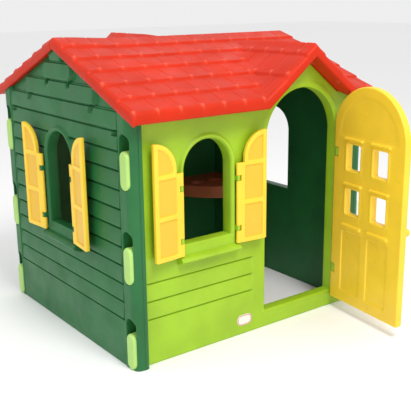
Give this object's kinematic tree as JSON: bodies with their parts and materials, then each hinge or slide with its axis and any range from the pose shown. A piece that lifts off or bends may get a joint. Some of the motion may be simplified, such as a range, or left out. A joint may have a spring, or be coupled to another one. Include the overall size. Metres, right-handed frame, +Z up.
{
  "type": "plastic playhouse",
  "caption": "Moulded plastic garden playhouse with lap-boarded walls, shingled cross-gable roof, arched door, arched windows with hinged shutters and a corner play counter.",
  "frame": {"origin": "middle of the underside of the door threshold, on the ground", "axes": "+Z up, +X to the right along the front seen from outside, +Y from the front face to the back"},
  "size_m": [1.2638, 1.5287, 1.2],
  "materials": {
    "light_green": "moulded polyethylene, satin, faint stipple",
    "pale_green": "moulded polyethylene, satin",
    "dark_green": "moulded polyethylene, satin, faint stipple",
    "red": "moulded polyethylene, satin gloss",
    "yellow": "moulded polyethylene, satin gloss",
    "terracotta": "moulded polyethylene, satin",
    "steel": "zinc plated",
    "ivory": "smooth, blank"
  },
  "bodies": {
    "house": {"front_wall": "light_green", "front_wall_tabs": "pale_green", "back_wall": "dark_green", "back_wall_tabs": "pale_green", "left_wall": "dark_green", "right_wall": "dark_green", "roof_front": "red", "roof_back": "red", "door_pin_upper": "steel", "door_pin_lower": "steel", "front_shutter_left_pins": "steel", "front_shutter_right_pins": "steel", "left_shutter_front_pins": "steel", "left_shutter_back_pins": "steel", "right_shutter_front_pins": "steel", "right_shutter_back_pins": "steel", "corner_counter": "terracotta", "counter_screws": "steel", "roof_screws": "steel", "blank_badge": "ivory"},
    "door": {"door_leaf": "yellow", "door_knob": "yellow"},
    "front_shutter_left_body": {"front_shutter_left": "yellow"},
    "front_shutter_right_body": {"front_shutter_right": "yellow"},
    "left_shutter_front_body": {"left_shutter_front": "yellow"},
    "left_shutter_back_body": {"left_shutter_back": "yellow"},
    "right_shutter_front_body": {"right_shutter_front": "yellow"},
    "right_shutter_back_body": {"right_shutter_back": "yellow"}
  },
  "joints": [
    {"name": "door_hinge", "type": "hinge", "parent": "house", "child": "door", "pos_m": [0.197, -0.044, 0.5], "axis": [0, 0, 1], "range_deg": [-83, 9]},
    {"name": "front_shutter_left_hinge", "type": "hinge", "parent": "house", "child": "front_shutter_left_body", "pos_m": [-0.62, -0.045, 0.6], "axis": [0, 0, 1], "range_deg": [-4, 174]},
    {"name": "front_shutter_right_hinge", "type": "hinge", "parent": "house", "child": "front_shutter_right_body", "pos_m": [-0.352, -0.045, 0.6], "axis": [0, 0, 1], "range_deg": [-174, 4]},
    {"name": "left_shutter_front_hinge", "type": "hinge", "parent": "house", "child": "left_shutter_front_body", "pos_m": [-0.86, 0.351, 0.6], "axis": [0, 0, 1], "range_deg": [-174, 4]},
    {"name": "left_shutter_back_hinge", "type": "hinge", "parent": "house", "child": "left_shutter_back_body", "pos_m": [-0.86, 0.619, 0.6], "axis": [0, 0, 1], "range_deg": [-4, 174]},
    {"name": "right_shutter_front_hinge", "type": "hinge", "parent": "house", "child": "right_shutter_front_body", "pos_m": [0.36, 0.351, 0.6], "axis": [0, 0, 1], "range_deg": [-4, 174]},
    {"name": "right_shutter_back_hinge", "type": "hinge", "parent": "house", "child": "right_shutter_back_body", "pos_m": [0.36, 0.619, 0.6], "axis": [0, 0, 1], "range_deg": [-174, 4]}
  ]
}
